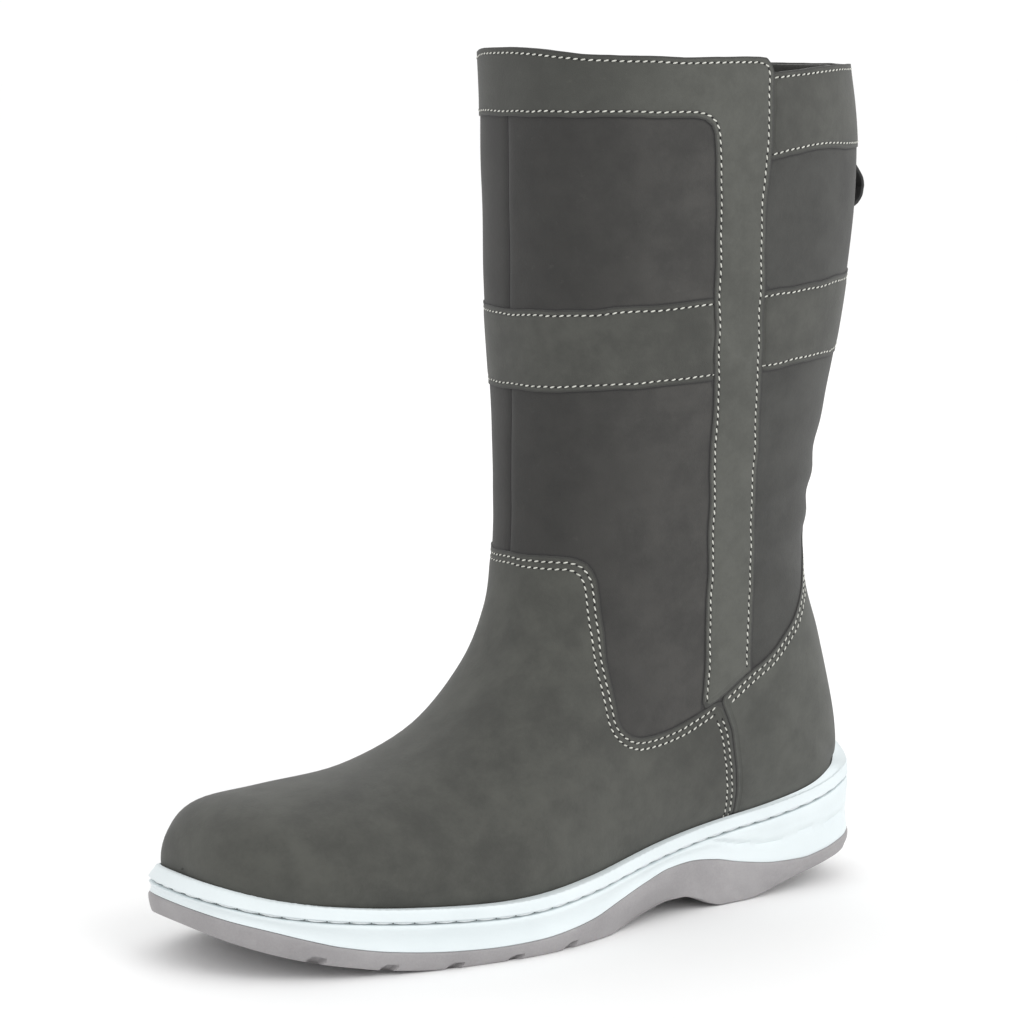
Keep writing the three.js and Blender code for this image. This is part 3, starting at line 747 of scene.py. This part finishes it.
def formRingAt(heightOver, out):
    found = []
    for row in range(rowsUp):
        z = formPoints[row, :, 2]
        level = float(stackAt(formPoints[row, 0, 0])) + heightOver
        sides = []
        for columns in (range(0, ridgeColumn), range(2 * ridgeColumn, ridgeColumn, -1)):
            before = columns[0]
            here = formPoints[row, before]
            for column in list(columns)[1:] + [ridgeColumn]:
                if z[column] >= level:
                    t = (level - z[before]) / max(z[column] - z[before], 1e-6)
                    t = min(max(t, 0.0), 1.0)
                    here = formPoints[row, before] * (1 - t) + formPoints[row, column] * t
                    here = here + out * (formOut[row, before] * (1 - t) + formOut[row, column] * t)
                    break
                before = column
            sides.append(here)
        found.append(sides)
    found = np.array(found)
    outerRun, innerRun = found[:, 0], found[::-1, 1][1:-1]
    loop = np.vstack([outerRun, innerRun])
    edgeRun = np.vstack([formPoints[:rowsUp, 0], formPoints[:rowsUp, -1][::-1][1:-1]])
    # matched to the plan's own points by where each stands round the outline
    lengthForm, lengthPlan = roundLength(edgeRun), roundLength(planLoop)
    at = lengthPlan[:-1] / lengthPlan[-1] * lengthForm[-1]
    closedLoop = np.vstack([loop, loop[:1]])
    return np.column_stack([np.interp(at, lengthForm, closedLoop[:, k]) for k in range(3)])


def makeRand():
    innerTop = formRingAt(soleSize["randHeight"], 0.25)
    innerTop[:, 2] = np.maximum(innerTop[:, 2], randTop - 0.35)
    atHeel = (planX < 45)[:, None]
    for _ in range(14):
        eased = (np.roll(innerTop, 1, axis=0) + 2 * innerTop + np.roll(innerTop, -1, axis=0)) / 4
        innerTop = np.where(atHeel, eased, innerTop)
    lean = 0.35 + 2.4 * smoothstep(236, 284, planX)  # how far the strip leans in at its top
    outerTop = ringAt(welt - 1.1 - 1.2 * lean, randTop - 0.02)
    grooveIn, grooveTop = sole["grooveDepth"], stack + sole["grooveHeight"]
    rings = [ringAt(0.25, underFoot + 0.35), ringAt(welt - 0.9 - grooveIn, stack + 0.3),
             ringAt(welt - 1.0 - grooveIn, grooveTop - 0.35), ringAt(welt - 0.55, grooveTop - 0.1),
             ringAt(welt - 0.15, grooveTop + 0.3), ringAt(welt - 0.1 - 0.3 * lean, stack + 2.6),
             ringAt(welt - 0.15 - 0.65 * lean, stack + 3.8), ringAt(welt - 0.2 - 0.9 * lean, randTop - 0.7),
             ringAt(welt - 0.45 - lean, randTop - 0.2), outerTop, 0.5 * (outerTop + innerTop) + [0, 0, 0.15],
             innerTop, ringAt(0.25, underFoot + 2.4)]
    roughness = 0.12 * np.sin(np.arange(ringCount) * 1.7) * np.sin(np.arange(ringCount) * 0.39)
    for ring in rings[7:10]:
        ring[:, 2] += roughness
    return stackRings("randStrip", rings, closedTube=True)


randPiece = makeRand()
for piece, node in ((outsolePiece, "outsole"), (midsolePiece, "midsole"), (randPiece, "rand")):
    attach(piece, "boot")
    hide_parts(node)
    print("sole", piece.name, len(piece.data.polygons), "faces")

# the seam that holds the sole runs in the groove under the rand
grooveLine = ringAt(welt - 0.75 - sole["grooveDepth"], stack + sole["grooveHeight"] * 0.5)
grooveLine = np.vstack([grooveLine, grooveLine[:1]])
grooveOut = np.column_stack([np.vstack([planNormal, planNormal[:1]]), np.zeros(ringCount + 1)])
grooveThread, grooveHoleShades = sewRows("soleSeam", [(grooveLine, grooveOut)], pitch=sole["needlePitch"],
                                    length=6.4, width=0.9, sink=0.05, slant=0.0, hole=(0.7, 0.6, 0.3))
for piece in (grooveThread, grooveHoleShades):
    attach(piece, "boot")

# footbed and its cover, as far in from the plan of the foot as the footbed in the frame
footbedBack = (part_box("footbed")[0][0] - heelBack) / mm
footbed = {"inset": footbedBack - form["footRows"][-1][0] + 0.2, "base": 5.3, "thickness": 4.0, "cover": 0.8}


def bedPiece(name, inset, low, high, node):
    bedX = np.clip(planX - inset * planNormal[:, 0], 0, 296)
    level = stackAt(bedX)
    rings = [ringAt(-inset - 1.2, level + low), ringAt(-inset, level + low + 0.4),
             ringAt(-inset, level + high - 0.5), ringAt(-inset - 0.5, level + high),
             ringAt(-inset - 4, level + high)]
    piece = stackRings(name, rings, flatCap, flatCap)
    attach(piece, "insole")
    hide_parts(node)
    return piece


bedTop = footbed["base"] + footbed["thickness"]
footbedPiece = bedPiece("footbedPad", footbed["inset"], footbed["base"], bedTop, "footbed")
coverPiece = bedPiece("footbedSock", footbed["inset"] + 0.4, bedTop + 0.25, bedTop + 0.25 + footbed["cover"],
                      "footbed_cover")

# The pull loop: a strip folded to a D and sewn at its top
loop = {"width": 24, "strip": 1.7, "length": 24, "bulge": 11.4, "hinge": (2.8, 280.8), "across": 12}


def makePullLoop():
    hingeX, hingeZ = loop["hinge"]
    foot = hingeZ - loop["length"] + 1.5
    rear = hingeX + loop["strip"] - loop["bulge"]
    path = [(hingeX + 0.6, hingeZ + 1.4), (hingeX + 0.8, hingeZ - 5), (hingeX + 0.4, foot + 9),
            (hingeX - 0.9, foot + 5.4), (hingeX - 3.6, foot + 4.4), (rear + 2.8, foot + 6.2),
            (rear + 0.9, foot + 10.5), (rear + 0.6, hingeZ - 9.6), (rear + 3.2, hingeZ - 4.4),
            (hingeX - 2.8, hingeZ - 0.8), (hingeX - 0.9, hingeZ + 1.4)]
    centre = smoothRows([(x, 0, z) for x, z in path], 6)
    across = np.linspace(-loop["width"] / 2, loop["width"] / 2, loop["across"] + 1)
    points = [[x, y * (1 - 0.02 * math.cos(z)), z] for x, _, z in centre for y in across]
    wide = len(across)
    faces = [[i * wide + k, i * wide + k + 1, (i + 1) * wide + k + 1, (i + 1) * wide + k]
             for i in range(len(centre) - 1) for k in range(loop["across"])]
    piece = objectFrom("pullLoop", points, faces)
    apply(piece, "SOLIDIFY", thickness=loop["strip"] * mm * 0.92, offset=0)
    bevel(piece, 0.3)
    apply(piece, "SUBSURF", levels=1, render_levels=1)
    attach(piece, "loop")
    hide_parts("pull_loop")
    return piece


pullLoop = makePullLoop()
print("sole, footbed and loop made")


class Wire:
    # a socket of a finish, which takes part in sums
    def __init__(self, tree, socket):
        self.tree, self.socket = tree, socket

    def make(self, kind, settings=None, inputs=None, output=0):
        node = self.tree.nodes.new(kind)
        for key, value in (settings or {}).items():
            setattr(node, key, value)
        for key, value in (inputs or {}).items():
            if isinstance(value, Wire):
                self.tree.links.new(value.socket, node.inputs[key])
            else:
                node.inputs[key].default_value = value
        return Wire(self.tree, node.outputs[output])

    def math(self, operation, first, second=0.0):
        return self.make("ShaderNodeMath", {"operation": operation}, {0: first, 1: second})

    def __add__(self, other):
        return self.math("ADD", self, other)

    def __sub__(self, other):
        return self.math("SUBTRACT", self, other)

    def __mul__(self, other):
        return self.math("MULTIPLY", self, other)

    def __truediv__(self, other):
        return self.math("DIVIDE", self, other)

    def __pow__(self, other):
        return self.math("POWER", self, other)

    def ramp(self, low, high, start=0.0, end=1.0):
        return self.make("ShaderNodeMapRange", {"interpolation_type": "SMOOTHSTEP"},
                         {"Value": self, "From Min": low, "From Max": high, "To Min": start, "To Max": end})

    def between(self, dark, light):
        return self.make("ShaderNodeMix", {"data_type": "RGBA"},
                         {"Factor": self, 6: (*dark, 1), 7: (*light, 1)}, output=2)

    def over(self, colour, other):
        # this much of other laid over colour
        return self.make("ShaderNodeMix", {"data_type": "RGBA"},
                         {"Factor": self, 6: colour, 7: (*other, 1)}, output=2)


def startMaterial(name):
    material = bpy.data.materials.new(name)
    material.use_nodes = True
    tree = material.node_tree
    shader = next(node for node in tree.nodes if node.type == "BSDF_PRINCIPLED")
    place = Wire(tree, None).make("ShaderNodeTexCoord", output="Object")
    return material, shader, place


def noiseOf(place, scale, detail=3.0, roughness=0.55, distortion=0.0):
    inputs = {"Vector": place, "Scale": scale, "Detail": detail, "Roughness": roughness,
              "Distortion": distortion}
    return place.make("ShaderNodeTexNoise", None, inputs, output="Fac")


def finishMaterial(shader, place, colour, roughness, height, distance, sheen=0.0, metal=0.0, bump=0.6):
    tree = place.tree
    normal = place.make("ShaderNodeBump", None, {"Strength": bump, "Distance": distance, "Height": height})
    tree.links.new(colour.socket, shader.inputs["Base Color"])
    tree.links.new(roughness.socket, shader.inputs["Roughness"])
    tree.links.new(normal.socket, shader.inputs["Normal"])
    shader.inputs["Sheen Weight"].default_value = sheen
    shader.inputs["Sheen Roughness"].default_value = 0.6
    shader.inputs["Metallic"].default_value = metal


def leatherFinish(name, dark, light, raw, cloud=30.0, contrast=1.5, sewnAt=2.0, sheen=0.1, frontPaintedShade=0.0):
    # raw is the cut edge's colour, also laid as painted shade in the sewn groove and beside the pieces on the
    # shaft's panels, and sewnAt is how far in from the edge the leather is drawn down
    material, shader, place = startMaterial(name)
    edge = place.make("ShaderNodeAttribute", {"attribute_name": "edge"}, output="Fac")
    clouds = noiseOf(place, cloud, 4.0, 0.6, 0.4)
    patches = noiseOf(place, cloud * 3.4, 5.0, 0.62)
    nap = noiseOf(place, 800.0, 4.0, 0.7)
    grain = noiseOf(place, 2600.0, 2.0, 0.6)
    scuff = noiseOf(place, 210.0, 6.0, 0.75, 1.2).ramp(0.6, 0.72)
    tone = (clouds - 0.5) * contrast + (patches - 0.5) * contrast * 0.75 + (nap - 0.5) * 0.5 + 0.5
    colour = tone.ramp(0.02, 0.98).between(dark, light)
    if frontPaintedShade:
        # painted shade: the front of the shaft is painted darker for the weaker light on its forward faces,
        # over a little real darkening of the leather
        forward = place.make("ShaderNodeSeparateXYZ", None, {0: place}) + (clouds - 0.5) * 0.05
        colour = (forward.ramp(-0.04, 0.014) * frontPaintedShade).over(colour, tuple(c * 0.35 for c in dark))
    lighter = tuple(min(c * 1.3, 1) for c in light)
    colour = (scuff * 0.22).over(colour, lighter)
    ragged = edge + (nap - 0.5) * 0.9 + (grain - 0.5) * 0.5
    # dark near the edge attribute: the raw cut edge, and on the shaft's panels painted shade beside the
    # pieces laid on them
    rawEdgeAndShade = ragged.ramp(0.3, 1.05, 1.0, 0.0)
    colour = (rawEdgeAndShade * 0.85).over(colour, raw)
    gathered = ((edge - sewnAt) / 0.8) ** 2.0
    groove = gathered.ramp(0.0, 1.6, 1.0, 0.0)
    # painted shade: the sewn groove is darkened with the raw colour, as shade in the recess
    colour = (groove * 0.12).over(colour, raw)
    roughness = nap * 0.14 + clouds * 0.08 + 0.74
    height = nap * 0.5 + grain * 0.3 + patches * 0.5 - groove * 0.8
    finishMaterial(shader, place, colour, roughness, height, 0.00035, sheen)
    return material


def plainFinish(name, dark, light, scale, roughness, grainScale, distance, bump=0.4, speckle=0.0, metal=0.0):
    material, shader, place = startMaterial(name)
    clouds = noiseOf(place, scale, 4.0)
    grain = noiseOf(place, grainScale, 3.0, 0.6)
    tone = (clouds - 0.5) * 1.5 + (grain - 0.5) * (0.5 + speckle) + 0.5
    colour = tone.ramp(0.0, 1.0).between(dark, light)
    finishMaterial(shader, place, colour, (clouds - 0.5) * 0.2 + roughness, grain + clouds * 0.5, distance,
                   metal=metal, bump=bump)
    return material


def wovenFinish(name, dark, light, pitch):
    material, shader, place = startMaterial(name)
    parts = place.make("ShaderNodeSeparateXYZ", None, {0: place})
    tree = place.tree
    x, y, z = (Wire(tree, parts.socket.node.outputs[k]) for k in range(3))
    turn = 2 * math.pi / pitch
    warp, weft = ((x + y) * turn).math("SINE", (x + y) * turn), z.math("SINE", z * turn)
    weave = warp * weft
    clouds, fluff = noiseOf(place, 45.0, 4.0), noiseOf(place, 1500.0, 3.0, 0.7)
    tone = weave * 0.3 + (clouds - 0.5) * 0.9 + (fluff - 0.5) * 0.6 + 0.5
    colour = tone.ramp(0.0, 1.0).between(dark, light)
    finishMaterial(shader, place, colour, fluff * 0.1 + 0.82, weave * 0.5 + fluff * 0.5, 0.0003, 0.2)
    return material


def foamFinish(name, dark, light):
    material, shader, place = startMaterial(name)
    clouds, skinGrain = noiseOf(place, 22.0, 3.0), noiseOf(place, 900.0, 3.0, 0.6)
    marks = noiseOf(place, 160.0, 6.0, 0.8, 0.8).ramp(0.62, 0.78)
    colour = ((clouds - 0.5) * 1.4 + 0.5).ramp(0.0, 1.0).between(dark, light)
    colour = (marks * 0.25).over(colour, tuple(c * 0.8 for c in dark))
    finishMaterial(shader, place, colour, clouds * 0.12 + marks * 0.1 + 0.42, skinGrain + clouds * 0.6,
                   0.00012, bump=0.35)
    return material


def rubberFinish(name, dark, light):
    material, shader, place = startMaterial(name)
    clouds, grit = noiseOf(place, 40.0, 4.0), noiseOf(place, 1300.0, 3.0, 0.65)
    dust = noiseOf(place, 120.0, 5.0, 0.7).ramp(0.5, 0.75)
    colour = ((clouds - 0.5) * 1.2 + (grit - 0.5) * 0.5 + 0.5).ramp(0.0, 1.0).between(dark, light)
    colour = (dust * 0.2).over(colour, tuple(min(c * 1.25, 1) for c in light))
    finishMaterial(shader, place, colour, dust * 0.12 + 0.6, grit + clouds * 0.4, 0.00018, bump=0.5)
    return material


def threadFinish(name, dark, light):
    material, shader, place = startMaterial(name)
    strands, dirt = noiseOf(place, 3200.0, 2.0, 0.5, 0.6), noiseOf(place, 260.0, 4.0, 0.7)
    colour = ((dirt - 0.5) * 1.6 + (strands - 0.5) * 0.6 + 0.5).ramp(0.0, 1.0).between(dark, light)
    finishMaterial(shader, place, colour, strands * 0.1 + 0.62, strands, 0.0001, 0.15, bump=0.7)
    return material


# each finish: how it is made, its dark and light colour, and what else that way of making takes
recipes = {
    "nubuckVamp": (leatherFinish, (0.0399, 0.0407, 0.0354), (0.0686, 0.0702, 0.0608), (0.03, 0.03, 0.028)),
    "nubuckHeel": (leatherFinish, (0.0458, 0.0473, 0.0414), (0.0754, 0.0777, 0.0685), (0.03, 0.03, 0.028)),
    # the last number of nubuckStrap and suedeFront is how much painted shade darkens the front of the shaft
    "nubuckStrap": (leatherFinish, (0.0541, 0.0556, 0.0485), (0.0881, 0.0904, 0.0798), (0.033, 0.033, 0.031),
                    36.0, 1.2, 2.0, 0.1, 0.55),
    "nubuckBand": (leatherFinish, (0.0405, 0.0412, 0.0362), (0.0679, 0.0694, 0.0606), (0.03, 0.03, 0.028),
                   34.0),
    "suedeFront": (leatherFinish, (0.0321, 0.0313, 0.0293), (0.0572, 0.0554, 0.0513), (0.026, 0.025, 0.025),
                   24.0, 1.7, -9.0, 0.08, 0.6),
    "suedeRear": (leatherFinish, (0.0282, 0.0282, 0.026), (0.0495, 0.0502, 0.046), (0.026, 0.025, 0.025),
                  24.0, 1.7, -9.0, 0.08),
    "loopLeather": (leatherFinish, (0.018, 0.018, 0.018), (0.036, 0.036, 0.034), (0.012, 0.012, 0.012)),
    "thread": (threadFinish, (0.4, 0.4, 0.36), (0.74, 0.74, 0.68)),
    "soleThread": (threadFinish, (0.72, 0.75, 0.76), (0.86, 0.89, 0.9)),
    # the needle holes' dark colours are painted shade where the holes are
    "needleHole": (plainFinish, (0.008, 0.008, 0.008), (0.02, 0.02, 0.019), 300.0, 0.9, 2000.0, 0.00005),
    "soleHole": (plainFinish, (0.16, 0.165, 0.17), (0.26, 0.27, 0.275), 300.0, 0.9, 2000.0, 0.00005),
    "whiteFoam": (foamFinish, (0.66, 0.72, 0.735), (0.74, 0.8, 0.815)),
    "soleRubber": (rubberFinish, (0.26, 0.25, 0.255), (0.36, 0.347, 0.352)),
    "liningCloth": (wovenFinish, (0.05, 0.048, 0.045), (0.12, 0.115, 0.108), 0.0012),
    "facingLeather": (plainFinish, (0.04, 0.04, 0.037), (0.075, 0.075, 0.069), 60.0, 0.55, 1400.0, 0.0002),
    "bedFoam": (plainFinish, (0.09, 0.09, 0.094), (0.15, 0.15, 0.156), 80.0, 0.85, 1800.0, 0.0004, 0.8),
    "bedLeather": (plainFinish, (0.13, 0.105, 0.08), (0.2, 0.165, 0.13), 50.0, 0.7, 1500.0, 0.0002),
    "board": (plainFinish, (0.36, 0.26, 0.16), (0.48, 0.36, 0.23), 120.0, 0.85, 900.0, 0.0002, 0.4, 0.8),
    "cork": (plainFinish, (0.2, 0.11, 0.05), (0.44, 0.27, 0.14), 400.0, 0.9, 700.0, 0.0006, 0.9, 1.0),
    "shankSteel": (plainFinish, (0.28, 0.29, 0.3), (0.38, 0.39, 0.4), 90.0, 0.35, 2600.0, 0.00003, 0.4, 0.0,
                   1.0),
    "stiffener": (plainFinish, (0.55, 0.5, 0.41), (0.68, 0.63, 0.53), 70.0, 0.6, 1200.0, 0.0002),
}
finishes = {name: make(name, *rest) for name, (make, *rest) in recipes.items()}


def dress(piece, finish, slotName):
    piece.data.materials.clear()
    piece.data.materials.append(finishes[finish])


dressing = {
    "vamp": ("nubuckVamp", "nubuck"), "heelFoxing": ("nubuckHeel", "nubuck"),
    "collarAndStraps": ("nubuckStrap", "nubuck"), "rearCollar": ("nubuckBand", "nubuck"),
    "frontBand": ("nubuckBand", "nubuck"), "rearBand": ("nubuckBand", "nubuck"),
    "frontPanelOuter": ("suedeFront", "shaft_suede"), "frontPanelInner": ("suedeFront", "shaft_suede"),
    "rearPanel": ("suedeRear", "shaft_suede"), "collarFacing": ("facingLeather", "facing_leather"),
    "shaftLining": ("liningCloth", "lining_fabric"), "footLining": ("liningCloth", "lining_fabric"),
    "heelCounter": ("stiffener", "stiffener"), "toePuff": ("stiffener", "stiffener"),
}
for name, (finish, slotName) in dressing.items():
    dress(upper[name], finish, slotName)
for thread, holeShades in zip(threads, needleHoleShades):
    dress(thread, "thread", "nubuck")
    dress(holeShades, "needleHole", "nubuck")
for piece, finish, slotName in (
        (outsolePiece, "soleRubber", "sole_rubber"), (midsolePiece, "whiteFoam", "white_foam"),
        (randPiece, "whiteFoam", "white_foam"), (grooveThread, "soleThread", "white_foam"),
        (grooveHoleShades, "soleHole", "white_foam"), (footbedPiece, "bedFoam", "footbed_foam"),
        (coverPiece, "bedLeather", "footbed_leather"), (pullLoop, "loopLeather", "nubuck")):
    dress(piece, finish, slotName)
for node, finish in (("forefoot_filler", "cork"), ("shank", "shankSteel"), ("insole_board", "board")):
    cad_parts[node].data.materials.clear()
    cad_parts[node].data.materials.append(finishes[finish])
print("finishes on")

# The floor, lights and camera
studio = {"floor": 40.0, "world": 1.04, "key": 36.0, "fill": 2.0, "back": 5.0}
bpy.ops.mesh.primitive_plane_add(size=studio["floor"])
floor = bpy.context.active_object
floor.name = "floor"
floorFinish = plainFinish("floorFinish", (0.965, 0.965, 0.965), (0.98, 0.98, 0.98), 3.0, 0.8, 60.0, 0.0001,
                          0.1)
floor.data.materials.append(floorFinish)
world = bpy.data.worlds.new("studio")
world.use_nodes = True
world.node_tree.nodes["Background"].inputs["Color"].default_value = (1, 1, 1, 1)
world.node_tree.nodes["Background"].inputs["Strength"].default_value = studio["world"]
bpy.context.scene.world = world


def softLight(name, power, size, place, target):
    bpy.ops.object.light_add(type="AREA", location=place)
    light = bpy.context.active_object
    light.name = name
    light.data.energy, light.data.size = power, size
    light.rotation_euler = (Vector(target) - Vector(place)).to_track_quat("-Z", "Y").to_euler()


softLight("key", studio["key"], 2.2, (-0.7, 3.0, 2.3), (0, 0, 0.15))
softLight("fill", studio["fill"], 2.5, (-1.6, 2.6, 1.2), (0, 0, 0.15))
softLight("back", studio["back"], 1.5, (-1.5, -2.0, 2.0), (0, 0, 0.2))

view = {"place": (0.731573, 1.020645, 0.328284), "heading": -125.288, "down": 7.919, "lens": 120.45}
bpy.ops.object.camera_add(location=view["place"])
camera = bpy.context.active_object
heading, down = math.radians(view["heading"]), math.radians(view["down"])
looking = Vector((math.cos(heading) * math.cos(down), math.sin(heading) * math.cos(down), -math.sin(down)))
camera.rotation_euler = looking.to_track_quat("-Z", "Y").to_euler()
camera.data.lens, camera.data.sensor_width = view["lens"], 36.0
camera.data.clip_end = 200.0
bpy.context.scene.camera = camera
bpy.context.scene.view_settings.view_transform = "Standard"
